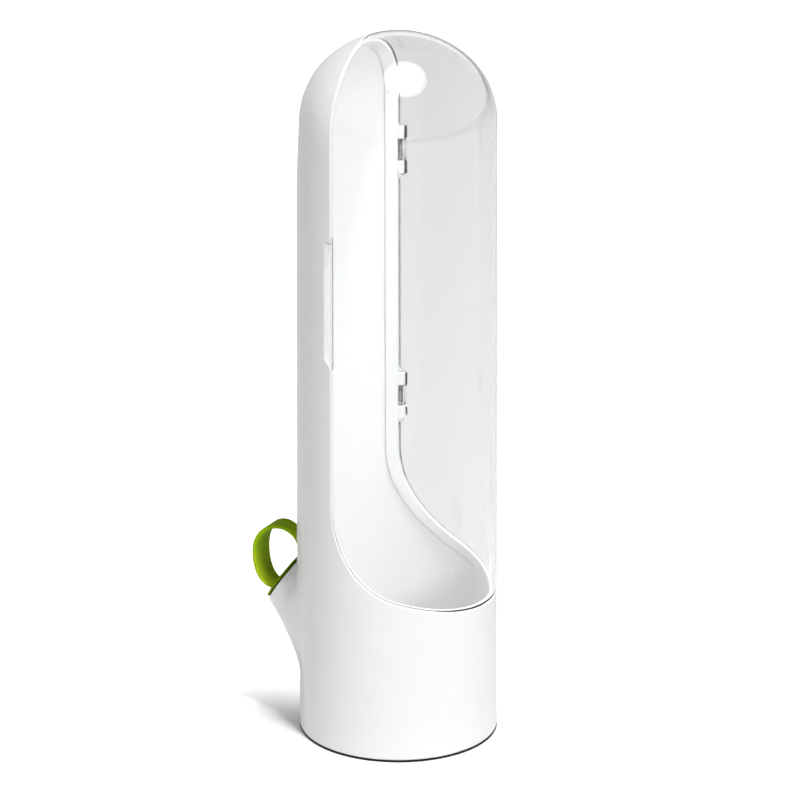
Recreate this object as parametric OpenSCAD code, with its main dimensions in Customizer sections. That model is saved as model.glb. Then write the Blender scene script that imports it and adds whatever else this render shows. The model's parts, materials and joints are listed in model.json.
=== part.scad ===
// Upright keeper with a clear side-hinged door, a water cup at its foot
// and a filler spout at its back that a soft plug closes.
// Millimetres. +Z is up, the front (the door) faces -Y, and the origin is
// the centre of the foot, on the surface that the keeper stands on.

/* [Body] */
// Overall height above the surface
body_h = 280; // [240:1:320]
// Outer diameter at the foot
body_d = 76; // [70:0.5:90]
// How much narrower the body is where the dome begins, in radius
shoulder_in = 0.8; // [0:0.1:3]
// Radius of the dome's shoulder
shoulder_r = 31; // [27:0.5:36]
// Angle up the shoulder's curve at which the flatter crown begins
join_a = 46.46; // [30:0.01:75]
// Wall of the white shell
shell_t = 2; // [1.6:0.1:2.6]
// Rounding of the shell's lower outer edge
foot_round = 0.8; // [0.4:0.1:1.4]

/* [Door opening] */
// How far behind the axis the opening's upright edges lie
seam_back = 13.6; // [8:0.1:16]
// Height of the opening's lowest point, at the front
sill_h = 57; // [50:0.5:75]
// Slope of the sill, in degrees
sill_slope = 17; // [5:0.1:20]
// Radius of the curve between the sill and the upright edges
corner_r = 38; // [20:0.5:40]
// Wall of the clear door
door_t = 1.8; // [1.4:0.1:2.2]
// Gap between the door's edge and the shell's
seam_gap = 0.35; // [0.25:0.05:0.6]
// How far the shell's inner lip reaches behind the door's edge
lip_reach = 0.8; // [0.6:0.1:2]
// Thickness of the inner lip
lip_t = 1.2; // [1:0.1:1.6]
// Gap between the inner lip and the door's inner face
lip_gap = 0.8; // [0.7:0.05:1.2]
// Width of the rib that carries the lip inside the shell
lip_root = 4; // [2.5:0.1:6]

/* [Finger tab] */
// Height of the tab's lower end
tab_z = 157; // [130:1:170]
// Length of the tab
tab_h = 50; // [30:1:60]
// How far the tab reaches over the shell's edge
tab_w = 3.2; // [2.6:0.1:5]
// How far the tab stands proud of the door
tab_proud = 0.7; // [0.4:0.1:1.2]
// Least thickness of the tab, at its rear edge
tab_t = 1.3; // [1:0.1:2]
// Cut-off at the tab's lower rear corner
tab_bevel = 2.6; // [1:0.1:4]
// Thickness of the pocket's floor under the tab
pocket_t = 1.4; // [1:0.1:2]

/* [Hinge] */
// Height of the middle of the lower hinge
hinge_low_z = 122; // [115:1:140]
// Height of the middle of the upper hinge
hinge_high_z = 222; // [190:1:230]
// How far the hinge axis lies outside the shell's surface
hinge_out = 0.5; // [0.2:0.1:1]
// Radius of the hinge barrels
barrel_r = 2.6; // [2.3:0.1:3]
// Length of the door's barrel
door_barrel_h = 8; // [6:0.5:12]
// Length of each of the shell's barrels
shell_barrel_h = 5; // [4:0.5:8]
// End gap between the barrels
barrel_gap = 0.35; // [0.25:0.05:0.6]
// Diameter of the steel hinge pins
pin_d = 2; // [1.6:0.1:2.4]
// Radial clearance of the pin in the shell's barrels
pin_hold = 0.02; // [0.01:0.01:0.05]
// Radial clearance of the pin in the door's barrel
pin_run = 0.06; // [0.04:0.01:0.1]
// How deep the pin's ends lie below the barrels' ends
pin_sink = 0.3; // [0.1:0.1:0.8]
// How far the pin's bore runs past the barrels' ends
pin_past = 1; // [0.5:0.1:2]

/* [Spout] */
// How far the middle of the mouth stands out from the shell
mouth_out = 8; // [6:0.5:14]
// Height of the middle of the mouth
mouth_z = 54.5; // [50:0.5:62]
// Tilt of the mouth's axis away from upright, in degrees
mouth_tilt = 56; // [45:1:65]
// Outer radius of the mouth
mouth_r = 11.5; // [10:0.1:13]
// Wall of the mouth
mouth_t = 1.8; // [1.4:0.1:2.4]
// Depth of the round bore
bore_depth = 10; // [8:0.5:12]
// How much slimmer the spout and its passage are than the mouth, in radius
neck_in = 0.25; // [0.1:0.05:0.5]
// Depth of the mouth's round rim
neck_z = 1; // [0.5:0.1:3]
// Wall of the spout below the bore
spout_t = 1.8; // [1.4:0.1:2.4]
// Height of the spout's waist
waist_z = 26; // [22:0.5:32]
// How far the waist stands out from the shell
waist_out = 4.6; // [2:0.1:8]
// Radius of the waist
waist_r = 10; // [8:0.1:11]
// Height of the spout's lower end
toe_z = 9; // [6:0.5:14]
// Radius of the lower end
toe_r = 9; // [6:0.1:10]

/* [Plug] */
// Radial clearance of the plug's ribs in the bore
plug_run = 0.1; // [0.05:0.01:0.1]
// Gap between the flange and the mouth's face
plug_seat = 0.15; // [0.1:0.05:0.3]
// Thickness of the flange
flange_t = 1; // [0.8:0.1:1.6]
// How much smaller the flange is than the mouth, in radius
flange_in = 0.2; // [0:0.1:0.6]
// Length of the stem in the bore
stem_h = 8; // [6:0.5:9]
// Number of sealing ribs on the stem
rib_count = 2; // [1:1:3]
// Height of each sealing rib
rib_proud = 0.6; // [0.3:0.1:1]
// Outer radius of the finger loop's round ends
loop_r = 10; // [9:0.1:10.2]
// Straight stretch between the loop's round ends
loop_straight = 6.9; // [2:0.1:10]
// Thickness of the loop
loop_t = 1.6; // [1.4:0.1:2.4]
// Width of the loop
loop_w = 9.4; // [7:0.1:10]
// Distance from the mouth's middle to the loop's middle, outwards
loop_dy = 3; // [2.5:0.1:6]
// Distance from the mouth's middle to the loop's middle, upwards
loop_dz = 8.3; // [6:0.1:12]
// Turn of the loop about the upright, in degrees
loop_turn = -8; // [-12:1:12]

/* [Base] */
// Height of the foot pad that shows below the shell
foot_h = 0.7; // [0.5:0.1:1.5]
// How much smaller the foot pad is than the shell, in radius
foot_in = 0.7; // [0.4:0.1:1.5]
// Width of the ring that the pad stands on
foot_w = 6; // [4.5:0.1:10]
// Radius of the pad's flat middle
foot_core_r = 8; // [5:0.5:14]
// Depth of the relief between the ring and the middle
foot_relief = 0.3; // [0.2:0.05:0.4]
// Width of the tongue that holds the pad
tongue_w = 1.6; // [1:0.1:2]
// Height of the tongue
tongue_h = 1.2; // [0.8:0.1:1.4]
// Floor of the bottom cap
cap_t = 2.4; // [2.2:0.1:4]
// Height of the bottom cap's rim
cap_h = 9; // [8:0.5:14]
// Thickness of the bottom cap's rim
rim_t = 2.4; // [2.2:0.1:3]
// Radial clearance of the bottom cap in the shell
cap_gap = 0.1; // [0.05:0.05:0.3]
// Thickness of the seal's round section
seal_d = 1.8; // [1.4:0.1:2]
// Clearance round the seal in its groove
seal_gap = 0.04; // [0.02:0.01:0.1]

/* [Hidden] */

$fn = 120;
hull_fn = 48;
disc_h = 1;
eps = 0.01;
far = 2 * body_h;

body_r = body_d / 2;
top_r = body_r - shoulder_in;
shoulder_x = top_r - shoulder_r;
crown_r = shoulder_r + shoulder_x / cos(join_a);
crown_z = body_h - crown_r;
shoulder_z = crown_z + shoulder_x * tan(join_a);
arc_steps = 10;

// Outer radius of the body at height z, below the dome
function wall_r(z) = body_r + (top_r - body_r) * (z - foot_h) / (shoulder_z - foot_h);

// Half outline of the body, t inside its outer surface, from height z0 up
function dome_line(t) = concat(
    [for (i = [0 : arc_steps])
        let (a = join_a * i / arc_steps)
        [shoulder_x + (shoulder_r - t) * cos(a), shoulder_z + (shoulder_r - t) * sin(a)]],
    [for (i = [1 : arc_steps])
        let (a = join_a + (90 - join_a) * i / arc_steps)
        [(crown_r - t) * cos(a), crown_z + (crown_r - t) * sin(a)]]
);

// Side outline of the door opening, g inside its edge, as [y, z] points
corner_a = (90 - sill_slope) / 2;
corner_z = sill_h + (body_r + seam_back) * tan(sill_slope);
arc_z = corner_z + corner_r * tan(corner_a);
arc_y = seam_back - corner_r;
function opening_line(g) = concat(
    [[seam_back - g, far]],
    [for (i = [0 : arc_steps])
        let (a = -2 * corner_a * i / arc_steps)
        [arc_y + (corner_r - g) * cos(a), arc_z + (corner_r - g) * sin(a)]],
    [[-far, sill_h + g / cos(sill_slope) - (far - body_r) * tan(sill_slope)]],
    [[-far, far]]
);

lip_in = door_t + lip_gap;
lip_end = lip_in + lip_t;
join_in = shell_t / 2;

hinge_y = seam_back;
hinge_x = sqrt(pow(wall_r(hinge_low_z), 2) - pow(hinge_y, 2)) + hinge_out;
hinge_h = door_barrel_h + 2 * (shell_barrel_h + barrel_gap);
pin_bore_h = hinge_h + 2 * pin_past;
pin_h = hinge_h - 2 * pin_sink;

tab_end = seam_back + tab_w;
tab_mid_r = wall_r(tab_z + tab_h) + tab_proud;
tab_x = -sqrt(pow(tab_mid_r, 2) - pow(tab_end, 2)) + tab_t;
pocket_x = tab_x + seam_gap;
tab_root = seam_back - lip_reach - seam_gap;

bore_r = mouth_r - mouth_t;
bore_far = bore_depth + mouth_r;
mouth_y = body_r + mouth_out;
waist_y = body_r + waist_out - waist_r;
toe_y = wall_r(toe_z) - toe_r;
flange_r = mouth_r - flange_in;
stem_r = bore_r - plug_run;
core_r = stem_r - rib_proud;
rib_h = stem_h / (2 * rib_count + 1);
cap_r = body_r - shell_t - cap_gap;
foot_r = body_r - foot_in;
tongue_r = foot_r - foot_w / 2;
seal_z = foot_h + (cap_t + cap_h) / 2;
seal_r = body_r - shell_t - seal_d / 2 - seal_gap;

clear = [0.9, 0.95, 0.96, 0.35];

// A solid of revolution: the body's form, t inside its outer surface
module body_form(t, z0 = foot_h) {
    rotate_extrude()
        polygon(concat(
            [[0, z0], [wall_r(z0) - t, z0]],
            dome_line(t),
            [[0, body_h - t]]
        ));
}

// Everything on the door's side of the seam, g inside the opening's edge
module door_side(g) {
    rotate([90, 0, 90])
        translate([0, 0, -far / 2])
            linear_extrude(far)
                polygon(opening_line(g));
}

// A band of the body's form between depths t1 and t2
module band(t1, t2) {
    difference() {
        body_form(t1);
        body_form(t2, foot_h - eps);
    }
}

// The tab's outline seen from the side, grown by g
module tab_side(g, front) {
    polygon([
        [front, tab_z - g],
        [tab_end - tab_bevel + g / 2, tab_z - g],
        [tab_end + g, tab_z + tab_bevel - g / 2],
        [tab_end + g, tab_z + tab_h + g],
        [front, tab_z + tab_h + g]
    ]);
}

// A plate in the tab's outline, from x = -far to x = x1
module tab_plate(g, front, x1) {
    translate([x1, 0, 0])
        rotate([90, 0, 90])
            mirror([0, 0, 1])
                linear_extrude(far)
                    tab_side(g, front);
}

// A barrel along a hinge's axis, with its middle at height z
module barrel(z, r, h) {
    translate([hinge_x, hinge_y, z - h / 2])
        cylinder(r = r, h = h);
}

// The two barrels of the shell at one hinge, grown by g
module shell_barrels(z, g) {
    reach = (door_barrel_h + shell_barrel_h) / 2 + barrel_gap;
    for (side = [-1, 1])
        barrel(z + side * reach, barrel_r + g, shell_barrel_h + 2 * g);
}

// Sets its children on the mouth, with +Z along the mouth's axis
module at_mouth() {
    translate([0, mouth_y, mouth_z])
        rotate([-mouth_tilt, 0, 0])
            children();
}

// A short upright disc that the spout's form is drawn round
module spout_disc(y, z, r) {
    translate([0, y, z])
        cylinder(r = r, h = disc_h, center = true, $fn = hull_fn);
}

// The spout's form, t inside its outer surface, from a disc of radius r
// whose lower face lies at depth z below the mouth
module spout_form(t, r, z) {
    hull() {
        at_mouth()
            translate([0, 0, -z])
                cylinder(r = r, h = disc_h, $fn = hull_fn);
        spout_disc(waist_y, waist_z, waist_r - t);
    }
    hull() {
        spout_disc(waist_y, waist_z, waist_r - t);
        spout_disc(toe_y, toe_z + t, toe_r - t);
    }
}

// The spout outside the body, with nothing bored out yet
module spout_body() {
    difference() {
        union() {
            at_mouth()
                translate([0, 0, -bore_far])
                    cylinder(r = mouth_r, h = bore_far);
            spout_form(0, mouth_r - neck_in, neck_z + disc_h);
        }
        body_form(join_in, foot_h - eps);
    }
}

// The way through the mouth and the spout into the body
module spout_passage() {
    at_mouth()
        translate([0, 0, -bore_far])
            cylinder(r = bore_r, h = 2 * bore_far);
    spout_form(spout_t, bore_r - neck_in, bore_depth);
}

// The shell's wall and its inner lip, with the door's opening cut out
module shell_wall() {
    difference() {
        band(0, shell_t);
        door_side(0);
        rotate_extrude()
            translate([body_r, foot_h])
                difference() {
                    translate([-foot_round, -eps])
                        square(foot_round + eps);
                    translate([-foot_round, foot_round])
                        circle(foot_round);
                }
    }
    difference() {
        band(lip_in, lip_end);
        door_side(lip_reach);
        rear_of_lip();
    }
    difference() {
        band(join_in, lip_end);
        door_side(0);
        rear_of_lip();
    }
}

// Everything behind the lip's rib
module rear_of_lip() {
    difference() {
        translate([-far / 2, -far / 2, -eps])
            cube(far);
        door_side(-lip_root);
    }
}

// The pocket that the tab lies in: its floor, and the cut above it
module pocket_floor() {
    intersection() {
        body_form(join_in);
        difference() {
            tab_plate(pocket_t, tab_root + seam_gap, pocket_x + pocket_t);
            tab_plate(pocket_t + eps, tab_root, pocket_x);
        }
    }
}

module body_shell() {
    color([0.95, 0.95, 0.94])
        difference() {
            union() {
                difference() {
                    union() {
                        shell_wall();
                        spout_body();
                    }
                    spout_passage();
                }
                pocket_floor();
                for (z = [hinge_low_z, hinge_high_z])
                    shell_barrels(z, 0);
            }
            tab_plate(seam_gap, tab_root - eps, pocket_x);
            for (z = [hinge_low_z, hinge_high_z]) {
                barrel(z, barrel_r + barrel_gap, door_barrel_h + 2 * barrel_gap);
                barrel(z, pin_d / 2 + pin_hold, pin_bore_h);
            }
        }
}

module clear_door() {
    color(clear)
        difference() {
            union() {
                intersection() {
                    band(0, door_t);
                    door_side(seam_gap);
                }
                intersection() {
                    body_form(-tab_proud);
                    tab_plate(0, tab_root, tab_x);
                }
                for (z = [hinge_low_z, hinge_high_z])
                    barrel(z, barrel_r, door_barrel_h);
            }
            for (z = [hinge_low_z, hinge_high_z]) {
                shell_barrels(z, barrel_gap);
                barrel(z, pin_d / 2 + pin_run, pin_bore_h);
            }
        }
}

module hinge_pin(z) {
    color([0.75, 0.76, 0.78])
        barrel(z, pin_d / 2, pin_h);
}

module upper_hinge_pin() {
    hinge_pin(hinge_high_z);
}

module lower_hinge_pin() {
    hinge_pin(hinge_low_z);
}

// Outline of the finger loop, t inside its outer edge
module loop_outline(t) {
    square([2 * (loop_r - t), loop_straight], center = true);
    translate([0, loop_straight / 2])
        circle(loop_r - t);
    translate([0, -loop_straight / 2])
        circle(loop_r - t);
}

// Half outline of one sealing rib, from height z down
function rib_line(z) = [
    [core_r, z], [stem_r, z - rib_h / 2], [stem_r, z - rib_h], [core_r, z - 1.5 * rib_h]
];

module spout_plug() {
    color([0.45, 0.66, 0.08]) {
        at_mouth() {
            translate([0, 0, plug_seat])
                cylinder(r = flange_r, h = flange_t);
            rotate_extrude()
                polygon(concat(
                    [[0, plug_seat + flange_t / 2], [core_r, plug_seat + flange_t / 2]],
                    [for (i = [1 : rib_count]) each rib_line((1 - 2 * i) * rib_h)],
                    [[core_r - rib_proud, -stem_h], [0, -stem_h]]
                ));
        }
        intersection() {
            translate([0, mouth_y + loop_dy, mouth_z + loop_dz])
                rotate([90, 0, 90 + loop_turn])
                    linear_extrude(loop_w, center = true)
                        difference() {
                            loop_outline(0);
                            loop_outline(loop_t);
                        }
            at_mouth()
                translate([-far / 2, -far / 2, plug_seat + flange_t / 2])
                    cube(far);
        }
    }
}

module bottom_cap() {
    groove_r = seal_r - seal_d / 2 - seal_gap;
    groove_h = seal_d + 2 * seal_gap;
    color([0.93, 0.93, 0.92])
        rotate_extrude()
            difference() {
                union() {
                    translate([0, foot_h])
                        square([cap_r, cap_t]);
                    translate([cap_r - rim_t, foot_h])
                        square([rim_t, cap_h]);
                }
                translate([groove_r, seal_z - groove_h / 2])
                    square([cap_r, groove_h]);
                translate([tongue_r - tongue_w / 2, foot_h - eps])
                    square([tongue_w, tongue_h + eps]);
            }
}

module base_seal() {
    color([0.3, 0.3, 0.32])
        rotate_extrude()
            translate([seal_r, seal_z])
                circle(seal_d / 2);
}

module foot_pad() {
    color([0.25, 0.25, 0.26])
        rotate_extrude()
            difference() {
                union() {
                    square([foot_r, foot_h]);
                    translate([tongue_r - tongue_w / 2, 0])
                        square([tongue_w, foot_h + tongue_h]);
                }
                translate([foot_core_r, -eps])
                    square([foot_r - foot_w - foot_core_r, foot_relief + eps]);
            }
}

body_shell();
clear_door();
upper_hinge_pin();
lower_hinge_pin();
spout_plug();
bottom_cap();
base_seal();
foot_pad();
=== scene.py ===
# Tall herb keeper: white shell with a blended filler spout, clear door on a
# side hinge, green plug with a finger loop, dark foot. Sizes are in
# millimetres and turn into metres where a mesh is made.
import json
import math
import bmesh
import bpy
import numpy as np
from mathutils import Matrix, Vector

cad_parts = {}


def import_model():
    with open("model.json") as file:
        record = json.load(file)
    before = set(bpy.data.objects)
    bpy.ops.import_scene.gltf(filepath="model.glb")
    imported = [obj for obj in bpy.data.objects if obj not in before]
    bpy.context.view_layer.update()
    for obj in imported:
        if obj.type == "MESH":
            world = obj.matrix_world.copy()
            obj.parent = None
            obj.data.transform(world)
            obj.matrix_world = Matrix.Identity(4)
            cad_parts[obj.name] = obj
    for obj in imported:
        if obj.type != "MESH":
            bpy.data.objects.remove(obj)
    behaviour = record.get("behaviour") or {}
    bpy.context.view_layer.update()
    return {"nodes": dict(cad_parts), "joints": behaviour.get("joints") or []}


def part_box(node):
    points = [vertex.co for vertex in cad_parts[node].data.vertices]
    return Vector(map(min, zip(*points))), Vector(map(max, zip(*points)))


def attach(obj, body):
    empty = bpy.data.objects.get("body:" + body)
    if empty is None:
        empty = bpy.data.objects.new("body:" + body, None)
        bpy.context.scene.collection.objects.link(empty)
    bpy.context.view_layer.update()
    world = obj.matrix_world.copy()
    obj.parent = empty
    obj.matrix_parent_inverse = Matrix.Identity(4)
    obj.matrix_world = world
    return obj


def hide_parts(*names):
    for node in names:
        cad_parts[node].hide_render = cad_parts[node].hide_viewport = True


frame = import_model()
MM = 0.001

# ---------------------------------------------------------------- sizes
HINGE = Vector(frame["joints"][0]["pos_m"]) / MM
PULL = Vector(frame["joints"][1]["axis"])

# Body: a slightly tapered wall under a dome of two arcs, and its spine's swell
FOOT_Z = (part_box("body_shell")[0] / MM).z
BODY_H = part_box("clear_door")[1].z / MM
BODY_R = 38.0
SHELL_T = 2.0
SHOULDER_IN = 0.8
SHOULDER_R = 31.0
JOIN_A = math.radians(46.46)
FOOT_ROUND = 0.8
TOP_R = BODY_R - SHOULDER_IN
SHOULDER_X = TOP_R - SHOULDER_R
CROWN_R = SHOULDER_R + SHOULDER_X / math.cos(JOIN_A)
CROWN_Z = BODY_H - CROWN_R
SHOULDER_Z = CROWN_Z + SHOULDER_X * math.tan(JOIN_A)
WALL_S = SHOULDER_Z - FOOT_Z
JOIN_S = WALL_S + SHOULDER_R * JOIN_A
TOP_S = JOIN_S + CROWN_R * (math.pi / 2 - JOIN_A)
SPINE_OUT = 1.3
SPINE_FROM = 0.34
SPINE_LOW = 20
SPINE_RISE = 60
SPINE_HIGH = 215
SPINE_FALL = 45

# Door opening: a straight seam, a corner arc and a sloping sill
SEAM_BACK = HINGE.y
SILL_H = 57.0
SLOPE = math.radians(17)
CORNER_R = 38.0
SEAM_GAP = 0.35
DOOR_T = 1.8
LIP_REACH = 0.4
LIP_T = 0.8
LIP_IN = DOOR_T + 0.35
LIP_ROOT = 4.0
EDGE_R = 0.25
CORNER_TURN = math.pi / 2 - SLOPE
ARC_Y = SEAM_BACK - CORNER_R
ARC_Z = (SILL_H + (BODY_R + SEAM_BACK) * math.tan(SLOPE)
         + CORNER_R * math.tan(CORNER_TURN / 2))

# Finger tab, and the pocket that it lies in
TAB_Z = 157.5
TAB_H = 49.0
TAB_END = SEAM_BACK + 2.7
TAB_BEVEL = 2.6
TAB_ROOT = SEAM_BACK - 0.7
TAB_CLOSE = 0.22
TAB_PROUD = 0.7
TAB_T = 1.3
TAB_TOP_R = BODY_R - SHOULDER_IN * (TAB_Z + TAB_H - FOOT_Z) / WALL_S + TAB_PROUD
TAB_X = TAB_T - math.sqrt(TAB_TOP_R ** 2 - TAB_END ** 2)
POCKET_T = 1.4

# Hinge barrels
BARREL_R = 2.6
BARREL_GAP = 0.35
DOOR_BARREL_H = 8.0
SHELL_BARREL_H = 5.0
HINGE_Z = [(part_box(n)[0].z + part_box(n)[1].z) / 2 / MM
           for n in ("lower_hinge_pin", "upper_hinge_pin")]
BARREL_STEP = (DOOR_BARREL_H + SHELL_BARREL_H) / 2 + BARREL_GAP
PIN_R = 1.0

# Spout: its mouth, and the neck that slopes down from it into the wall
MOUTH = np.array([0.0, BODY_R + 8.0, 54.5])
MOUTH_R = 11.5
MOUTH_T = 1.8
BORE_R = MOUTH_R - MOUTH_T
AXIS = np.array(PULL)
UP_MOUTH = np.array([0.0, -AXIS[2], AXIS[1]])
BACK_A = math.radians(28)
BACK_DIR = np.array([0.0, -math.sin(BACK_A), -math.cos(BACK_A)])
BACK_OUT = np.array([0.0, math.cos(BACK_A), -math.sin(BACK_A)])
NECK_A = MOUTH - MOUTH_R * UP_MOUTH - MOUTH_R * BACK_OUT
NECK_L = 35.0
NECK_SLIM = 1.5


def smooth(t):
    t = np.clip(t, 0, 1)
    return t * t * (3 - 2 * t)


# ---------------------------------------------------------------- body form
def spine(phi, z):
    """How far the back swells beyond the round form, towards +Y."""
    turn = smooth((np.sin(phi) - SPINE_FROM) / (1 - SPINE_FROM))
    rise = smooth((z - SPINE_LOW) / SPINE_RISE)
    fall = 1 - smooth((z - SPINE_HIGH) / SPINE_FALL)
    return SPINE_OUT * turn * rise * fall


def body_point(phi, s, depth=0.0):
    """Point at angle phi, distance s up the body's outline, depth below it."""
    phi, s = np.asarray(phi, float), np.asarray(s, float)
    crown = s >= JOIN_S
    turn = np.where(crown, JOIN_A + (s - JOIN_S) / CROWN_R, (s - WALL_S) / SHOULDER_R)
    r = np.where(crown, CROWN_R, SHOULDER_R) - depth
    wall = s < WALL_S
    rho = np.where(wall, BODY_R - SHOULDER_IN * s / WALL_S - depth,
                   np.where(crown, 0, SHOULDER_X) + r * np.cos(turn))
    z = np.where(wall, FOOT_Z + s, np.where(crown, CROWN_Z, SHOULDER_Z) + r * np.sin(turn))
    return np.stack([rho * np.cos(phi), rho * np.sin(phi) + spine(phi, z), z], -1)


def wall_r(z):
    return BODY_R - SHOULDER_IN * (z - FOOT_Z) / WALL_S


def body_gap(p):
    """Distance outside the body's wall, below its dome."""
    y = p[:, 1]
    for _ in range(2):
        y = p[:, 1] - spine(np.arctan2(y, p[:, 0]), p[:, 2])
    return np.hypot(p[:, 0], y) - wall_r(p[:, 2])


# ---------------------------------------------------------------- edges
def door_side(p):
    """Distance inside the door opening's edge, in the side view."""
    y, z = p[..., 1], p[..., 2]
    above = (z - SILL_H - (y + BODY_R) * math.tan(SLOPE)) * math.cos(SLOPE)
    turn = np.arctan2(z - ARC_Z, y - ARC_Y)
    corner = (turn < 0) & (turn > -CORNER_TURN)
    return np.where(corner, CORNER_R - np.hypot(y - ARC_Y, z - ARC_Z),
                    np.minimum(SEAM_BACK - y, above))


def tab_side(p):
    """Distance inside the finger tab's outline, on the -X side."""
    y, z = p[..., 1], p[..., 2]
    bevel = (TAB_END - y + z - TAB_Z - TAB_BEVEL) / math.sqrt(2)
    inside = np.minimum(np.minimum(TAB_END - y, bevel),
                        np.minimum(z - TAB_Z, TAB_Z + TAB_H - z))
    return np.where(p[..., 0] < 0, inside, -99.0)


def clear_of_barrel(p, z, h):
    """Distance outside a hinge barrel of height h grown by its gap."""
    away = np.hypot(p[..., 0] - HINGE.x, p[..., 1] - HINGE.y) - BARREL_R - BARREL_GAP
    return np.maximum(away, np.abs(p[..., 2] - z) - h / 2 - BARREL_GAP)


def shell_edge(p):
    f = np.minimum(-door_side(p), -(tab_side(p) + SEAM_GAP))
    for z in HINGE_Z:
        f = np.minimum(f, clear_of_barrel(p, z, DOOR_BARREL_H))
    return f


def door_edge(p):
    f = door_side(p) - SEAM_GAP
    for z in HINGE_Z:
        for side in (-1, 1):
            f = np.minimum(f, clear_of_barrel(p, z + side * BARREL_STEP, SHELL_BARREL_H))
    return f


def egg(middle, half_h, half_w, lean):
    """Distance-like field outside an egg on the back of the body."""
    def field(p):
        turn = np.arctan2(p[..., 0], p[..., 1])
        z = p[..., 2] - middle
        width = half_w + lean * np.clip(z, -half_h, half_h)
        away = np.hypot(turn * BODY_R / width, z / half_h) - 1
        return np.where(np.abs(turn) < 1.2, away * half_w, 99.0)
    return field


SPOUT_EGG = (37.5, 33.5, 20.0, 0.13)
PASSAGE_EGG = (37.0, 27.0, 14.0, 0.06)


# ---------------------------------------------------------------- clipping
def settle(phi, s, field, target, depth=0.0, steps=5):
    """Moves points along the body's form until field is target."""
    h = 0.02
    for _ in range(steps):
        p = body_point(phi, s, depth)
        rho = np.maximum(np.hypot(p[..., 0], p[..., 1]), 1.0)
        f = field(p) - target
        gp = (field(body_point(phi + h / rho, s, depth)) - target - f) / h
        gs = (field(body_point(phi, s + h, depth)) - target - f) / h
        n = np.maximum(gp * gp + gs * gs, 0.1)
        phi, s = phi - f * gp / n / rho, s - f * gs / n
    return phi, s


def clip(phi, s, faces, field, target, snap=0.9):
    """Keeps what lies where field is over target, with vertices on its edge."""
    f = field(body_point(phi, s)) - target
    near = np.abs(f) < snap
    phi, s = phi.copy(), s.copy()
    phi[near], s[near] = settle(phi[near], s[near], field, target)
    f[near] = 0
    extra, kept = {}, []

    def cut(a, b):
        key = (min(a, b), max(a, b))
        if key not in extra:
            a, b = key
            t = f[a] / (f[a] - f[b])
            turn = (phi[b] - phi[a] + math.pi) % (2 * math.pi) - math.pi
            extra[key] = (len(phi) + len(extra), phi[a] + t * turn, s[a] + t * (s[b] - s[a]))
        return extra[key][0]

    for face in faces:
        values = [f[i] for i in face]
        if max(values) <= 0:
            continue
        if min(values) >= 0:
            kept.append(face)
            continue
        ring = []
        for a, b in zip(face, face[1:] + face[:1]):
            if f[a] >= 0:
                ring.append(a)
            if f[a] * f[b] < 0:
                ring.append(cut(a, b))
        if len(ring) > 2:
            kept.append(ring)
    if extra:
        new = np.array([v[1:] for v in extra.values()])
        more = settle(new[:, 0], new[:, 1], field, target)
        phi, s = np.append(phi, more[0]), np.append(s, more[1])
    return phi, s, kept


def loops(faces):
    """Closed loops of the edges that only one face uses."""
    once = {}
    for face in faces:
        for a, b in zip(face, face[1:] + face[:1]):
            if (b, a) in once:
                del once[(b, a)]
            else:
                once[(a, b)] = True
    step = {a: b for a, b in once}
    found = []
    while step:
        first, b = step.popitem()
        ring = [first]
        while b != first:
            ring.append(b)
            b = step.pop(b)
        found.append(ring)
    return found


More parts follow.
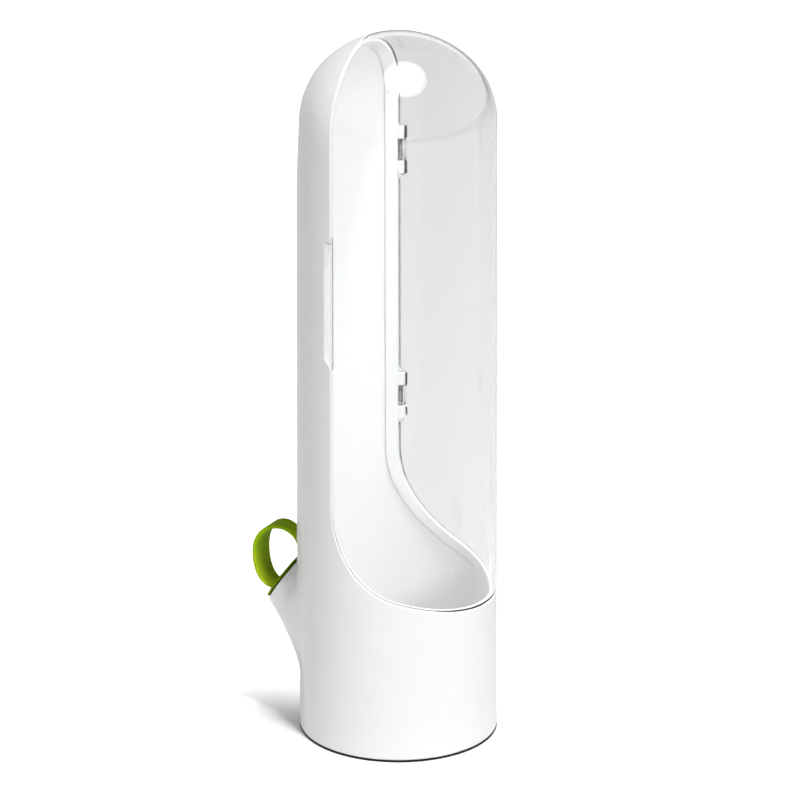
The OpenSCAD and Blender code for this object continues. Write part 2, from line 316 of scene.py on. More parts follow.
class Build:
    """Vertices and faces of one piece, in millimetres."""

    def __init__(self):
        self.points, self.faces = [], []

    def add(self, points):
        start = len(self.points)
        self.points.extend(np.asarray(points, float).reshape(-1, 3))
        return list(range(start, len(self.points)))

    def band(self, a, b):
        """Quads between two closed rings of as many vertices."""
        for i in range(len(a)):
            j = (i + 1) % len(a)
            self.faces.append([a[i], a[j], b[j], b[i]])

    def zip(self, a, turn_a, b, turn_b):
        """Triangles between two closed rings, matched by their angles."""
        a = [v for _, v in sorted(zip(turn_a, a))]
        b = [v for _, v in sorted(zip(turn_b, b))]
        turn_a, turn_b = sorted(turn_a), sorted(turn_b)
        i = j = 0
        while i < len(a) or j < len(b):
            next_a = turn_a[i + 1] if i + 1 < len(a) else turn_a[0] + 2 * math.pi
            next_b = turn_b[j + 1] if j + 1 < len(b) else turn_b[0] + 2 * math.pi
            va, vb = a[i % len(a)], b[j % len(b)]
            if j >= len(b) or (i < len(a) and next_a <= next_b):
                self.faces.append([va, a[(i + 1) % len(a)], vb])
                i += 1
            else:
                self.faces.append([va, b[(j + 1) % len(b)], vb])
                j += 1

    def lathe(self, line, origin, axis, steps=72, closed=False):
        """Turns a line of (radius, height) about an axis."""
        turn = Vector(axis).to_track_quat("Z", "Y").to_matrix()
        rings = []
        for r, h in line:
            if r == 0:
                rings.append(self.add([np.array(origin) + np.array(turn @ Vector((0, 0, h)))]))
                continue
            a = np.arange(steps) * 2 * math.pi / steps
            local = np.stack([r * np.cos(a), r * np.sin(a), np.full(steps, float(h))], -1)
            rings.append(self.add(local @ np.array(turn).T + np.array(origin)))
        pairs = list(zip(rings, rings[1:])) + ([(rings[-1], rings[0])] if closed else [])
        for a, b in pairs:
            if len(a) == 1 or len(b) == 1:
                tip, ring = (a, b) if len(a) == 1 else (b, a)
                for i in range(steps):
                    self.faces.append([tip[0], ring[i], ring[(i + 1) % steps]])
            else:
                self.band(a, b)

    def make(self, name, body, material, slot, *nodes, bevel=0.0):
        mesh = bpy.data.meshes.new(name)
        mesh.from_pydata([tuple(p * MM) for p in self.points], [], self.faces)
        bm = bmesh.new()
        bm.from_mesh(mesh)
        bmesh.ops.delete(bm, geom=[v for v in bm.verts if not v.link_faces], context="VERTS")
        bmesh.ops.dissolve_degenerate(bm, edges=bm.edges, dist=1e-7)
        bmesh.ops.recalc_face_normals(bm, faces=bm.faces)
        bm.to_mesh(mesh)
        bm.free()
        mesh.polygons.foreach_set("use_smooth", [True] * len(mesh.polygons))
        mesh.materials.append(material)
        piece = bpy.data.objects.new(name, mesh)
        bpy.context.scene.collection.objects.link(piece)
        if bevel:
            soften(piece, bevel)
        weigh(piece)
        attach(piece, body)
        if nodes:
            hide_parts(*nodes)
        return piece


def soften(piece, width):
    """Rounds the sharp edges of a piece."""
    bevel = piece.modifiers.new("round_edges", "BEVEL")
    bevel.width = width * MM
    bevel.segments = 3
    bevel.limit_method = "ANGLE"
    bevel.angle_limit = math.radians(35)


def weigh(piece):
    """Large faces decide the shading next to small edge faces."""
    normal = piece.modifiers.new("weighted_normals", "WEIGHTED_NORMAL")
    normal.weight = 70
    normal.keep_sharp = True


# ---------------------------------------------------------------- panels
REAR_COLUMNS = 52
FRONT_COLUMNS = 76
WALL_ROW = 2.9
DOME_ROW = 2.1


def grid():
    """Angles, heights and faces of the whole body, with a row at each tab end."""
    seam = math.asin(SEAM_BACK / (BODY_R - 0.4))
    rear = np.linspace(seam, math.pi - seam, REAR_COLUMNS + 1)[:-1]
    front = np.linspace(math.pi - seam, 2 * math.pi + seam, FRONT_COLUMNS + 1)[:-1]
    phi = np.concatenate([rear, front])
    marks = [FOOT_ROUND, 20, 70, TAB_Z - SEAM_GAP - EDGE_R - FOOT_Z,
             TAB_Z + TAB_H + SEAM_GAP + EDGE_R - FOOT_Z, WALL_S, JOIN_S, TOP_S]
    rows = [marks[0]]
    for a, b in zip(marks, marks[1:]):
        n = max(1, round((b - a) / (WALL_ROW if b <= WALL_S else DOME_ROW)))
        rows.extend(a + (b - a) * (i + 1) / n for i in range(n))
    n = len(phi)
    all_phi = np.append(np.tile(phi, len(rows) - 1), 0.0)
    all_s = np.append(np.repeat(rows[:-1], n), TOP_S)
    top = len(all_phi) - 1
    faces = []
    for i in range(len(rows) - 2):
        for j in range(n):
            k = (j + 1) % n
            faces.append([i * n + j, i * n + k, (i + 1) * n + k, (i + 1) * n + j])
    last = (len(rows) - 2) * n
    faces.extend([last + j, last + (j + 1) % n, top] for j in range(n))
    return all_phi, all_s, faces


def edge_rings(build, ring, phi, s, field, steps):
    """Rings that follow a panel's edge through steps of (field, depth)."""
    p, q, rings = phi[ring], s[ring], []
    for target, depth in steps:
        p, q = settle(p, q, field, target, depth)
        rings.append(build.add(body_point(p, q, depth)))
    return rings, (p, q)


def round_steps(thick, r=EDGE_R, parts=3):
    """Steps round a panel's edge, from its outer face to its inner face."""
    turns = [math.pi / 2 * (i + 1) / parts for i in range(parts)]
    outer = [(r - r * math.sin(a), r - r * math.cos(a)) for a in turns]
    inner = [(r - r * math.cos(a), thick - r + r * math.sin(a)) for a in turns]
    return outer + [(0.0, thick - r)] + inner


def panel(build, field, thick, holes=None):
    """A wall of the body's form with rounded edges; returns its hole rings."""
    phi, s, faces = grid()
    phi, s, faces = clip(phi, s, faces, field, EDGE_R)
    foot = FOOT_ROUND + 1e-6
    borders = loops(faces)
    edges = [r for r in borders if max(s[i] for i in r) > foot]
    foot_ring = [r for r in borders if max(s[i] for i in r) <= foot]
    inner_phi, inner_s = phi.copy(), s.copy()
    joins = []
    for ring in edges:
        rings, (p, q) = edge_rings(build, ring, phi, s, field, round_steps(thick))
        inner_phi[ring], inner_s[ring] = p, q
        joins.append((ring, rings))
    out_phi, out_s, out_faces = phi, s, faces
    in_phi, in_s, in_faces = inner_phi, inner_s, faces
    if holes:
        out_phi, out_s, out_faces = clip(phi, s, faces, holes[0], 0.0)
        in_phi, in_s, in_faces = clip(inner_phi, inner_s, faces, holes[1], 0.0)
    outer = build.add(body_point(out_phi, out_s))
    inner = build.add(body_point(in_phi, in_s, thick))
    for ring, rings in joins:
        for new, old in zip(rings[-1], ring):
            inner[old] = new
        chain = [[outer[i] for i in ring]] + rings
        for a, b in zip(chain, chain[1:]):
            build.band(a, b)
    build.faces.extend([outer[i] for i in face] for face in out_faces)
    build.faces.extend([inner[i] for i in face][::-1] for face in in_faces)
    for ring in foot_ring:
        angles = phi[ring]
        chain = [[outer[i] for i in ring]]
        for a in (0.4, 0.8, 1.2, math.pi / 2):
            r = wall_r(FOOT_Z) - FOOT_ROUND * (1 - math.cos(a))
            z = np.full(len(ring), FOOT_Z + FOOT_ROUND * (1 - math.sin(a)))
            chain.append(build.add(np.stack([r * np.cos(angles), r * np.sin(angles), z], -1)))
        r = wall_r(FOOT_Z) - thick
        z = np.full(len(ring), FOOT_Z)
        chain.append(build.add(np.stack([r * np.cos(angles), r * np.sin(angles), z], -1)))
        chain.append([inner[i] for i in ring])
        for a, b in zip(chain, chain[1:]):
            build.band(a, b)
    hole_rings = []
    if holes:
        known = {i for ring in edges + foot_ring for i in ring}
        for verts, face_list in ((outer, out_faces), (inner, in_faces)):
            hole = next(ring for ring in loops(face_list) if not known & set(ring))
            hole_rings.append([verts[i] for i in hole])
    return hole_rings


# ---------------------------------------------------------------- spout
SPOUT_COLUMNS = 112
SPOUT_Z = 50.0
EGG_INSET = 0.965
NECK_BLEND = 1.0
RIM_BLEND = 0.6
FILLET_RIM = 0.8
FILLET_LOW = 6.0
FILLET_HIGH = 11.0
PASSAGE_BLEND = 1.2


def soft_min(a, b, k):
    """Smaller of two distances, with a blend of size k where they meet."""
    return np.minimum(a, b) - np.maximum(k - np.abs(a - b), 0) ** 2 / (4 * k)


def past_mouth(p):
    return (p - MOUTH) @ AXIS


def from_axis(p):
    away = p - MOUTH
    return np.linalg.norm(away - np.outer(away @ AXIS, AXIS), axis=1)


def neck_gap(p, wall):
    """Distance outside the spout's sloping neck, wall inside its surface."""
    along = np.clip((p - NECK_A) @ BACK_DIR / NECK_L, 0, 1)
    centre = NECK_A + np.outer(along * NECK_L, BACK_DIR)
    return np.linalg.norm(p - centre, axis=1) - (MOUTH_R - wall - NECK_SLIM * along)


def spout_gap(p):
    """Distance outside the shell with its spout blended in."""
    deep = past_mouth(p)
    tube = soft_min(from_axis(p) - MOUTH_R, neck_gap(p, 0), NECK_BLEND)
    tube = -soft_min(-tube, -deep, RIM_BLEND)
    full = FILLET_LOW + (FILLET_HIGH - FILLET_LOW) * smooth((p[:, 2] - 18) / 25)
    fillet = FILLET_RIM + (full - FILLET_RIM) * smooth(-deep / 9)
    return soft_min(body_gap(p), tube, fillet)


def passage_gap(p):
    """Distance outside the way that water takes through the spout."""
    tube = np.minimum(from_axis(p) - BORE_R, neck_gap(p, MOUTH_T))
    return soft_min(body_gap(p) + SHELL_T, tube, PASSAGE_BLEND)


def press(p, gap, steps=14):
    """Moves points onto the surface where gap is zero."""
    h = 0.01
    for _ in range(steps):
        f = gap(p)
        g = np.stack([(gap(p + h * e) - f) / h for e in np.eye(3)], -1)
        n = np.maximum((g * g).sum(1), 0.25)
        p = p - (np.clip(f, -1.5, 1.5) / n)[:, None] * g
    return p


def egg_points(shape, turn, depth):
    """Points just inside an egg's outline, at the given turns round SPOUT_Z."""
    field = egg(*shape)
    lo, hi = np.zeros(len(turn)), np.full(len(turn), 80.0)
    for _ in range(40):
        r = (lo + hi) / 2
        phi = math.pi / 2 - r * np.cos(turn) / BODY_R
        s = SPOUT_Z + r * np.sin(turn) - FOOT_Z
        out = field(body_point(phi, s)) > 0
        lo, hi = np.where(out, lo, r), np.where(out, r, hi)
    r = lo * EGG_INSET
    phi = math.pi / 2 - r * np.cos(turn) / BODY_R
    return body_point(phi, SPOUT_Z + r * np.sin(turn) - FOOT_Z, depth)


def loft(build, start, leave, finish, centre, gap, steps, pull=0.4):
    """Rings of curves from start to finish, pressed onto a surface."""
    span = np.linalg.norm(finish - start, axis=1, keepdims=True)
    arrive = finish - centre
    radial = finish * [1, 1, 0]
    radial /= np.linalg.norm(radial, axis=1, keepdims=True)
    arrive -= (arrive * radial).sum(1, keepdims=True) * radial
    arrive /= np.linalg.norm(arrive, axis=1, keepdims=True)
    b, c = start + leave * span * pull, finish - arrive * span * pull
    rings = []
    for t in steps:
        p = (start * (1 - t) ** 3 + 3 * b * t * (1 - t) ** 2
             + 3 * c * t * t * (1 - t) + finish * t ** 3)
        rings.append(build.add(press(p, gap)))
    return rings


def spout(build, outer_ring, inner_ring):
    """Lofts the spout's outside, mouth and passage, and joins them to the shell."""
    turn = (np.arange(SPOUT_COLUMNS) + 0.5) * 2 * math.pi / SPOUT_COLUMNS - math.pi
    ring = np.outer(np.cos(turn), [1, 0, 0]) + np.outer(np.sin(turn), UP_MOUTH)
    low = smooth((0.25 - np.sin(turn)) / 0.9)[:, None]
    leave = -AXIS * (1 - low) + BACK_DIR * low
    leave /= np.linalg.norm(leave, axis=1, keepdims=True)
    centre = np.array([0.0, BODY_R, SPOUT_Z])
    finish = egg_points(SPOUT_EGG, turn, 0.0)
    start = MOUTH + MOUTH_R * ring - 0.3 * AXIS
    ts = np.linspace(0, 1, 26) ** 1.35
    outer = loft(build, start, leave, finish, centre, spout_gap, ts)
    face = []
    for r in (MOUTH_R - 0.12, MOUTH_R - 0.35, MOUTH_R - 0.8, BORE_R + 0.35):
        face.append(build.add(press(MOUTH + r * ring, spout_gap)))
    for r, deep in ((0.12, 0.05), (0.0, 0.3)):
        face.append(build.add(MOUTH + (BORE_R + r) * ring - deep * AXIS))
    in_finish = egg_points(PASSAGE_EGG, turn, SHELL_T)
    in_start = MOUTH + BORE_R * ring - 0.3 * AXIS
    inner = loft(build, in_start, leave, in_finish, centre, passage_gap,
                 np.linspace(0, 1, 18)[1:])
    chain = outer[::-1] + face + inner
    for a, b in zip(chain, chain[1:]):
        build.band(a, b)
    for ring_ids, last in ((outer_ring, outer[-1]), (inner_ring, inner[-1])):
        p = np.array([build.points[i] for i in ring_ids])
        across = (math.pi / 2 - np.arctan2(p[:, 1], p[:, 0])) * BODY_R
        around = np.arctan2(p[:, 2] - SPOUT_Z, across)
        build.zip(last, list(turn), ring_ids, list(around))


# ---------------------------------------------------------------- materials
def material(name, colour, rough, **more):
    """Moulded plastic: fine mottling and orange peel; low paints a lighter colour towards a piece's
    foot, painted light.
    """
    mat = bpy.data.materials.new(name)
    mat.use_nodes = True
    nodes, links = mat.node_tree.nodes, mat.node_tree.links
    shader = nodes["Principled BSDF"]
    place = nodes.new("ShaderNodeTexCoord")
    fine = nodes.new("ShaderNodeTexNoise")
    fine.inputs["Scale"].default_value = more.get("grain", 900)
    fine.inputs["Detail"].default_value = 3
    broad = nodes.new("ShaderNodeTexNoise")
    broad.inputs["Scale"].default_value = 22
    broad.inputs["Detail"].default_value = 2
    for noise in (fine, broad):
        links.new(place.outputs["Object"], noise.inputs["Vector"])
    tint = nodes.new("ShaderNodeMix")
    tint.data_type = "RGBA"
    tint.inputs["A"].default_value = (*colour, 1)
    tint.inputs["B"].default_value = (*[c * more.get("shade", 0.97) for c in colour], 1)
    links.new(broad.outputs["Fac"], tint.inputs["Factor"])
    links.new(tint.outputs["Result"], shader.inputs["Base Color"])
    # Painted light: the colour turns to the lighter low colour towards the foot, standing in for lamp
    # light on the lower surfaces.
    if "low" in more:
        height = nodes.new("ShaderNodeSeparateXYZ")
        links.new(place.outputs["Generated"], height.inputs["Vector"])
        painted_light_fade = nodes.new("ShaderNodeMapRange")
        painted_light_fade.interpolation_type = "SMOOTHSTEP"
        painted_light_fade.inputs["From Min"].default_value = 0.15
        painted_light_fade.inputs["From Max"].default_value = 0.75
        links.new(height.outputs["Z"], painted_light_fade.inputs["Value"])
        rise = nodes.new("ShaderNodeMix")
        rise.data_type = "RGBA"
        rise.inputs["A"].default_value = (*more["low"], 1)
        links.new(painted_light_fade.outputs["Result"], rise.inputs["Factor"])
        links.new(tint.outputs["Result"], rise.inputs["B"])
        links.new(rise.outputs["Result"], shader.inputs["Base Color"])
    spread = nodes.new("ShaderNodeMapRange")
    spread.inputs["To Min"].default_value = rough * 0.85
    spread.inputs["To Max"].default_value = rough * 1.15
    links.new(fine.outputs["Fac"], spread.inputs["Value"])
    links.new(spread.outputs["Result"], shader.inputs["Roughness"])
    bump = nodes.new("ShaderNodeBump")
    bump.inputs["Strength"].default_value = more.get("bump", 0.04)
    bump.inputs["Distance"].default_value = 0.0002
    links.new(fine.outputs["Fac"], bump.inputs["Height"])
    links.new(bump.outputs["Normal"], shader.inputs["Normal"])
    for socket, value in more.get("sockets", {}).items():
        shader.inputs[socket].default_value = value
    return mat


def clear_material(name, colour, clear=1.0):
    """Clear polished plastic that lets lamps shine through."""
    mat = material(name, colour, 0.035, grain=300, bump=0.01, shade=0.995, sockets={
        "Transmission Weight": clear, "IOR": 1.46})
    nodes, links = mat.node_tree.nodes, mat.node_tree.links
    out = nodes["Material Output"]
    path = nodes.new("ShaderNodeLightPath")
    through = nodes.new("ShaderNodeBsdfTransparent")
    through.inputs["Color"].default_value = (0.93, 0.935, 0.935, 1)
    mix = nodes.new("ShaderNodeMixShader")
    links.new(path.outputs["Is Shadow Ray"], mix.inputs["Fac"])
    links.new(nodes["Principled BSDF"].outputs["BSDF"], mix.inputs[1])
    links.new(through.outputs["BSDF"], mix.inputs[2])
    links.new(mix.outputs["Shader"], out.inputs["Surface"])
    return mat


WHITE = material("shell_white", (0.86, 0.86, 0.858), 0.3, bump=0.008, shade=0.985, sockets={
    "Subsurface Weight": 0.05, "Subsurface Scale": 0.002, "Specular IOR Level": 0.28})
CLEAR = clear_material("door_clear", (0.93, 0.936, 0.934))
FROST = clear_material("tab_clear", (0.98, 0.98, 0.98), 0.75)
SOFT = {"Subsurface Weight": 0.12, "Subsurface Scale": 0.001,
        "Subsurface Radius": (0.8, 1.0, 0.1), "IOR": 1.05}
# The loop's lighter, yellower foot is painted light; the plastic itself is one green.
GREEN = material("plug_green", (0.31, 0.5, 0.01), 0.5, low=(0.46, 0.6, 0.02), grain=1400,
                 bump=0.03, sockets=SOFT)
# The flange gets a darker copy of the plug's green: painted shade along its rim and the gap under it.
SHADED_GREEN = material("plug_green_painted_shade", (0.19, 0.29, 0.008), 0.5, grain=1400, bump=0.03,
                      sockets=SOFT)
STEEL = material("pin_steel", (0.62, 0.63, 0.65), 0.28, sockets={"Metallic": 1.0})
CAP = material("cap_white", (0.84, 0.84, 0.835), 0.4)
SEAL = material("seal_grey", (0.08, 0.08, 0.09), 0.6)
FOOT = material("foot_grey", (0.012, 0.012, 0.013), 0.6, bump=0.12, sockets={
    "Specular IOR Level": 0.2})

CAD_ROUND = 0.12
for node, mat in (("upper_hinge_pin", STEEL), ("lower_hinge_pin", STEEL),
                  ("bottom_cap", CAP), ("base_seal", SEAL)):
    piece = frame["nodes"][node]
    piece.data.materials.clear()
    piece.data.materials.append(mat)
    if node != "base_seal":
        soften(piece, CAD_ROUND)
    weigh(piece)


# ---------------------------------------------------------------- shell
def barrel(build, z, h, bore):
    c = 0.3
    line = [(bore, -h / 2), (BARREL_R - c, -h / 2), (BARREL_R - 0.09, 0.09 - h / 2),
            (BARREL_R, c - h / 2), (BARREL_R, h / 2 - c), (BARREL_R - 0.09, h / 2 - 0.09),
            (BARREL_R - c, h / 2), (bore, h / 2)]
    build.lathe(line, (HINGE.x, HINGE.y, z), (0, 0, 1), 48, closed=True)


def pocket(build):
    """The tray that the finger tab lies in, set into the shell's wall."""
    floor_x = TAB_X + SEAM_GAP
    front = SEAM_BACK - LIP_REACH

    def outline(g):
        corners = [(front, TAB_Z - g), (TAB_END - TAB_BEVEL + g / 2, TAB_Z - g),
                   (TAB_END + g, TAB_Z + TAB_BEVEL - g / 2), (TAB_END + g, TAB_Z + TAB_H + g),
                   (front, TAB_Z + TAB_H + g)]
        line = []
        for (a, b), (c, d) in zip(corners, corners[1:] + corners[:1]):
            n = 8
            line.extend((a + (c - a) * i / n, b + (d - b) * i / n) for i in range(n))
        return np.array(line)

    def ring(g, depth, flat=None):
        line = outline(g)
        r = wall_r(line[:, 1]) - depth
        x = -np.sqrt(r * r - line[:, 0] ** 2)
        x = np.minimum(x, floor_x) if flat is None else np.full(len(x), flat)
        x = np.where(line[:, 0] < front + 0.01, floor_x if flat is None else flat, x)
        return build.add(np.stack([x, line[:, 0], line[:, 1]], -1))

    chain = [ring(SEAM_GAP, 0, floor_x), ring(SEAM_GAP, 0.6), ring(SEAM_GAP + POCKET_T, 0.6),
             ring(SEAM_GAP + POCKET_T, 0, floor_x + POCKET_T)]
    for a, b in zip(chain, chain[1:]):
        build.band(a, b)
    build.faces.append(chain[0])
    build.faces.append(chain[-1][::-1])


def lip(build):
    """The inner lip behind the door's edge, and the rib that carries it."""
    phi, s, faces = grid()
    phi, s, faces = clip(phi, s, faces, door_side, 0.0)
    ring = max(loops(faces), key=len)
    r, end, rib = 0.3, LIP_IN + LIP_T, SHELL_T - 0.8
    steps = [(-0.05, rib), (-0.05, LIP_IN - 0.15), (0.1, LIP_IN), (LIP_REACH - r, LIP_IN),
             (LIP_REACH - 0.09, LIP_IN + 0.09), (LIP_REACH, LIP_IN + r), (LIP_REACH, end - r),
             (LIP_REACH - 0.09, end - 0.09), (LIP_REACH - r, end), (-LIP_ROOT + r, end),
             (-LIP_ROOT, end - r), (-LIP_ROOT, rib)]
    rings, _ = edge_rings(build, ring, phi, s, door_side, steps)
    for a, b in zip(rings, rings[1:] + rings[:1]):
        build.band(a, b)
    low, high = TAB_Z - SEAM_GAP, TAB_Z + TAB_H + SEAM_GAP
    under_floor = TAB_X + SEAM_GAP + 0.3
    for i in (i for ids in rings for i in ids):
        x, _, z = build.points[i]
        if low < z < high and x < 0:
            build.points[i][0] = max(x, under_floor)


shell = Build()
spout(shell, *panel(shell, shell_edge, SHELL_T, (egg(*SPOUT_EGG), egg(*PASSAGE_EGG))))
for z in HINGE_Z:
    for side in (-1, 1):
        barrel(shell, z + side * BARREL_STEP, SHELL_BARREL_H, PIN_R + 0.02)
pocket(shell)
lip(shell)
shell.make("shell", "body", WHITE, "shell_white", "body_shell")


# ---------------------------------------------------------------- foot
FOOT_CORE_R = 8.0
FOOT_RING_R = 31.3
FOOT_RELIEF = 0.3
FOOT_SLOPE = 0.2


def foot_line():
    """Stands on its ring and core; its rim fills the shell's rounded edge."""
    top = FOOT_Z - 0.01
    return [(0, 0), (FOOT_CORE_R, 0), (FOOT_CORE_R + FOOT_SLOPE, FOOT_RELIEF),
            (FOOT_RING_R - FOOT_SLOPE, FOOT_RELIEF), (FOOT_RING_R, 0),
            (BODY_R - 0.25, 0), (BODY_R - 0.07, 0.07), (BODY_R, 0.25),
            (BODY_R, top + 0.1), (BODY_R - 0.1, top + 0.23), (BODY_R - 0.75, top), (0, top)]


foot = Build()
foot.lathe(foot_line(), (0, 0, 0), (0, 0, 1), 144)
foot.make("foot", "body", FOOT, "foot_grey", "foot_pad")


# ---------------------------------------------------------------- door
def finger_tab(build):
    """The raised tab at the door's free edge, flat on its inner side."""
    rows = np.concatenate([TAB_Z + TAB_BEVEL * np.linspace(0, 1, 4)[:-1],
                           np.linspace(TAB_Z + TAB_BEVEL, TAB_Z + TAB_H + TAB_CLOSE, 18)])
    cols = 9
    top, low = [], []
    for z in rows:
        end = min(TAB_END, TAB_END - TAB_BEVEL + z - TAB_Z)
        y = np.linspace(TAB_ROOT, end, cols)
        r = wall_r(z) + TAB_PROUD
        top.append(build.add(np.stack([-np.sqrt(r * r - y * y), y, np.full(cols, z)], -1)))
        low.append(build.add(np.stack([np.full(cols, TAB_X), y, np.full(cols, z)], -1)))
    for side in (top, low):
        for a, b in zip(side, side[1:]):
            for i in range(cols - 1):
                build.faces.append([a[i], a[i + 1], b[i + 1], b[i]])
    rim_top = top[0] + [row[-1] for row in top[1:-1]] + top[-1][::-1] + [row[0] for row in top[-2:0:-1]]
    rim_low = low[0] + [row[-1] for row in low[1:-1]] + low[-1][::-1] + [row[0] for row in low[-2:0:-1]]
    build.band(rim_top, rim_low)


door = Build()
panel(door, door_edge, DOOR_T)
for z in HINGE_Z:
    barrel(door, z, DOOR_BARREL_H, PIN_R + 0.06)
door.make("door", "door", CLEAR, "door_clear", "clear_door")
tab = Build()
finger_tab(tab)
tab.make("door_finger_tab", "door", FROST, "door_clear", bevel=EDGE_R)


# ---------------------------------------------------------------- plug
PLUG_SEAT = 0.15
FLANGE_T = 1.3
FLANGE_R = MOUTH_R - 0.6
GROOVE_H = 0.5
STEM_R = BORE_R - 0.1
STEM_H = 8.0
RIB_PROUD = 0.6
RIB_COUNT = 2
RIB_H = STEM_H / (2 * RIB_COUNT + 1)
CORE_R = STEM_R - RIB_PROUD
LOOP_OUT = 8.3
LOOP_BACK = 8.9
LOOP_UP = 9.15
LOOP_DOWN = 14.9
LOOP_T = 1.6
LOOP_W = 10.2
LOOP_ROUND = 0.5
LOOP_STEPS = 84
LOOP_FLARE = 2.0
LOOP_AT = MOUTH + np.array([0.0, 2.8, 11.8])
LOOP_LEAN = Vector((3.6, 5.7, -0.3))


def plug_line():
    top = PLUG_SEAT + FLANGE_T
    under = PLUG_SEAT + GROOVE_H
    line = [(0, top), (FLANGE_R - 0.4, top), (FLANGE_R - 0.12, top - 0.12),
            (FLANGE_R, top - 0.35), (FLANGE_R, under + 0.15), (FLANGE_R - 0.15, under),
            (CORE_R + 0.3, under), (CORE_R, under - 0.3)]
    for i in range(RIB_COUNT):
        z = -(2 * i + 1) * RIB_H
        line += [(CORE_R, z), (STEM_R - 0.1, z - RIB_H / 2 + 0.1), (STEM_R, z - 0.6 * RIB_H),
                 (STEM_R, z - 0.9 * RIB_H), (STEM_R - 0.1, z - RIB_H - 0.1),
                 (CORE_R, z - 1.5 * RIB_H)]
    return line + [(CORE_R - RIB_PROUD, -STEM_H + 0.2), (CORE_R - RIB_PROUD - 0.4, -STEM_H),
                   (0, -STEM_H)]


def finger_loop(build):
    """A flat band bent into a ring, widest at its outer side, on the flange."""
    lean = np.array(Matrix.Rotation(math.radians(LOOP_LEAN.length), 3, LOOP_LEAN))
    section = []
    for sx, sy, start in ((1, 1, 0), (-1, 1, 1), (-1, -1, 2), (1, -1, 3)):
        for k in range(4):
            a = math.pi / 2 * (start + k / 3)
            section.append((sx, LOOP_ROUND * (math.cos(a) - sx),
                            sy * (LOOP_T / 2 - LOOP_ROUND) + LOOP_ROUND * math.sin(a)))
    rings = []
    for i in range(LOOP_STEPS):
        a = 2 * math.pi * i / LOOP_STEPS
        wide = LOOP_OUT if math.cos(a) > 0 else LOOP_BACK
        tall = LOOP_UP if math.sin(a) > 0 else LOOP_DOWN
        n = Vector((tall * math.cos(a), wide * math.sin(a))).normalized()
        half = LOOP_W / 2 + LOOP_FLARE * math.cos(a)
        local = [(side * half + u, wide * math.cos(a) + v * n.x, tall * math.sin(a) + v * n.y)
                 for side, u, v in section]
        rings.append(build.add(np.array(local) @ lean.T + LOOP_AT))
    for a, b in zip(rings, rings[1:] + rings[:1]):
        build.band(a, b)


plug = Build()
plug.lathe(plug_line(), MOUTH, PULL, 96)
# The flange wears the darker green, painted shade.
plug.make("plug_flange", "plug", SHADED_GREEN, "plug_green", "spout_plug")
loop = Build()
finger_loop(loop)
loop.make("plug_loop", "plug", GREEN, "plug_green")


# ---------------------------------------------------------------- stage
RIGHT = Vector((0.3722, -0.9282, 0))
NEAR = Vector((-0.9282, -0.3722, 0))
UP = Vector((0, 0, 1))
SHINE = Vector((-0.0775, -0.1429, 0.987))
GLOW_NEAR = 0.1
GLOW_FAR = 0.9
GLOW_THROUGH = 0.14
AMBIENT = 0.15
FLOOR_HALF = 9.0


def maximum(nodes, links, a, b):
    """Larger of two node values."""
    node = nodes.new("ShaderNodeMath")
    node.operation = "MAXIMUM"
    links.new(a, node.inputs[0])
    links.new(b, node.inputs[1])
    return node.outputs[0]


def floor():
    """Pale plain floor; for the camera it brightens behind and round the keeper."""
    mesh = bpy.data.meshes.new("floor")
    mesh.from_pydata([(-FLOOR_HALF, -FLOOR_HALF, 0), (FLOOR_HALF, -FLOOR_HALF, 0),
                      (FLOOR_HALF, FLOOR_HALF, 0), (-FLOOR_HALF, FLOOR_HALF, 0)],
                     [], [[0, 1, 2, 3]])
    plane = bpy.data.objects.new("floor", mesh)
    bpy.context.scene.collection.objects.link(plane)
    mat = bpy.data.materials.new("floor")
    mat.use_nodes = True
    nodes, links = mat.node_tree.nodes, mat.node_tree.links
    shader = nodes["Principled BSDF"]
    shader.inputs["Base Color"].default_value = (0.88, 0.88, 0.88, 1)
    shader.inputs["Roughness"].default_value = 0.9
    shader.inputs["Specular IOR Level"].default_value = 0.0
    path = nodes.new("ShaderNodeLightPath").outputs
    place = nodes.new("ShaderNodeTexCoord").outputs["Object"]
    # The glow rises away from the camera, and all round beyond the shadow.
    rises = []
    for way, start, end in (("DOT_PRODUCT", 0.0, 0.045), ("LENGTH", 0.09, 0.3)):
        reach = nodes.new("ShaderNodeVectorMath")
        reach.operation = way
        links.new(place, reach.inputs[0])
        reach.inputs[1].default_value = -NEAR
        rise = nodes.new("ShaderNodeMapRange")
        rise.interpolation_type = "SMOOTHSTEP"
        for name, value in (("From Min", start), ("From Max", end),
                            ("To Min", GLOW_NEAR), ("To Max", GLOW_FAR)):
            rise.inputs[name].default_value = value
        links.new(reach.outputs["Value"], rise.inputs["Value"])
        rises.append(rise.outputs["Result"])
    seen = nodes.new("ShaderNodeMath")
    seen.operation = "MULTIPLY"
    links.new(maximum(nodes, links, *rises), seen.inputs[0])
    links.new(path["Is Camera Ray"], seen.inputs[1])
    through = nodes.new("ShaderNodeMath")
    through.operation = "MULTIPLY"
    through.inputs[1].default_value = GLOW_THROUGH
    links.new(maximum(nodes, links, path["Is Transmission Ray"], path["Is Glossy Ray"]),
              through.inputs[0])
    glow = nodes.new("ShaderNodeEmission")
    links.new(maximum(nodes, links, seen.outputs[0], through.outputs[0]),
              glow.inputs["Strength"])
    both = nodes.new("ShaderNodeAddShader")
    links.new(shader.outputs["BSDF"], both.inputs[0])
    links.new(glow.outputs["Emission"], both.inputs[1])
    links.new(both.outputs["Shader"], nodes["Material Output"].inputs["Surface"])
    mesh.materials.append(mat)


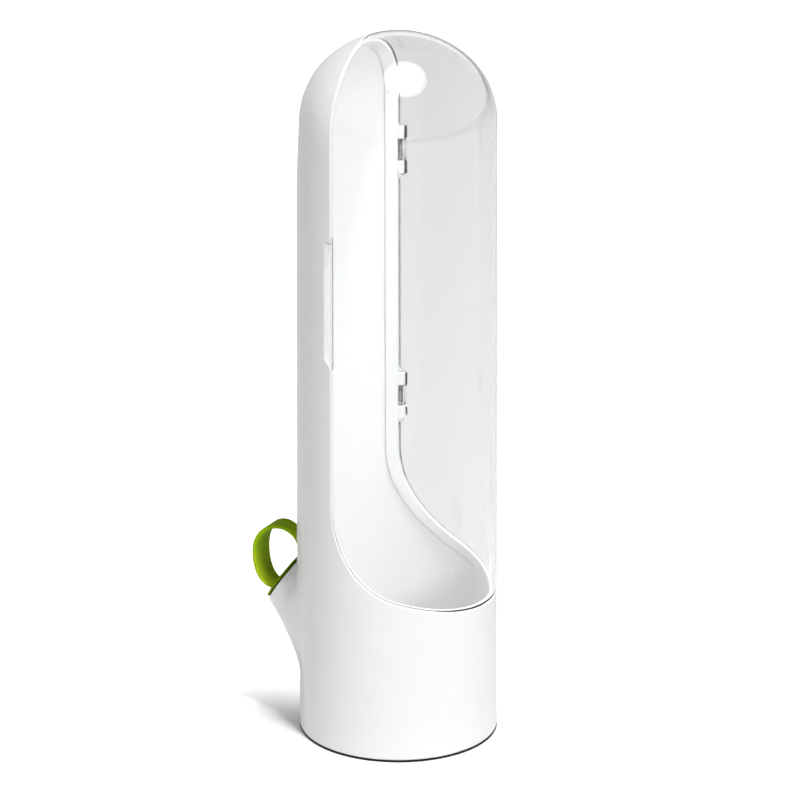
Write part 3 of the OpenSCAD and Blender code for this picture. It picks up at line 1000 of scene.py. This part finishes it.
def world():
    """Even soft light, white where the camera, gloss or clear plastic sees it."""
    scene_world = bpy.data.worlds.new("studio")
    bpy.context.scene.world = scene_world
    scene_world.use_nodes = True
    nodes, links = scene_world.node_tree.nodes, scene_world.node_tree.links
    back = nodes["Background"]
    back.inputs["Color"].default_value = (1, 1, 1, 1)
    path = nodes.new("ShaderNodeLightPath").outputs
    seen = maximum(nodes, links, path["Is Camera Ray"],
                   maximum(nodes, links, path["Is Transmission Ray"], path["Is Glossy Ray"]))
    level = nodes.new("ShaderNodeMapRange")
    level.inputs["To Min"].default_value = AMBIENT
    level.inputs["To Max"].default_value = 1.0
    links.new(seen, level.inputs["Value"])
    links.new(level.outputs["Result"], back.inputs["Strength"])


def towards(turn, height):
    """Direction turned to the right of the camera and raised, in degrees."""
    turn, height = math.radians(turn), math.radians(height)
    return (NEAR * math.cos(turn) + RIGHT * math.sin(turn)) * math.cos(height) + UP * math.sin(height)


def lamp(name, shape, size, power, direction, distance, gloss):
    """A soft lamp aimed at the keeper, seen either in reflections or only as light."""
    light = bpy.data.lights.new(name, "AREA")
    light.shape = shape
    light.size, light.size_y = size
    light.energy = power
    obj = bpy.data.objects.new(name, light)
    bpy.context.scene.collection.objects.link(obj)
    way = Vector(direction).normalized()
    along = (NEAR - way * NEAR.dot(way)).normalized()
    obj.matrix_world = Matrix.LocRotScale(
        Vector((0, 0, 0.14)) + way * distance,
        Matrix((along.cross(way), along, way)).transposed(), None)
    obj.visible_diffuse = not gloss
    obj.visible_glossy = gloss
    obj.visible_transmission = False


floor()
world()
lamp("key_lamp", "ELLIPSE", (0.3, 0.3), 66, towards(29, 78), 3.0, False)
lamp("front_lamp", "RECTANGLE", (0.4, 0.4), 18.5, towards(29, 18), 2.0, False)
lamp("fill_lamp", "RECTANGLE", (0.9, 0.9), 5.5, towards(-72, 8), 2.0, False)
lamp("shine", "ELLIPSE", (0.86, 1.12), 34, SHINE, 1.62, True)
lamp("shine_rim", "ELLIPSE", (1.1, 1.42), 24, SHINE, 1.64, True)

# ---------------------------------------------------------------- camera
# Fitted to the foot's ellipse and the dome in the photograph.
IMAGE_W = 800
FOCAL_PX = 7754.7
SENSOR_W = 36.0
camera = bpy.data.cameras.new("camera")
eye = bpy.data.objects.new("camera", camera)
bpy.context.scene.collection.objects.link(eye)
camera.sensor_width = SENSOR_W
camera.lens = FOCAL_PX / IMAGE_W * SENSOR_W
camera.clip_start, camera.clip_end = 0.1, 100
eye.location = Vector((-2.55197, -1.02392, 1.19961))
look = Vector((0.865427, 0.347022, -0.361403))
eye.rotation_mode = "QUATERNION"
eye.rotation_quaternion = (-look).to_track_quat("Z", "Y")
bpy.context.scene.camera = eye

bpy.context.scene.view_settings.view_transform = "Standard"
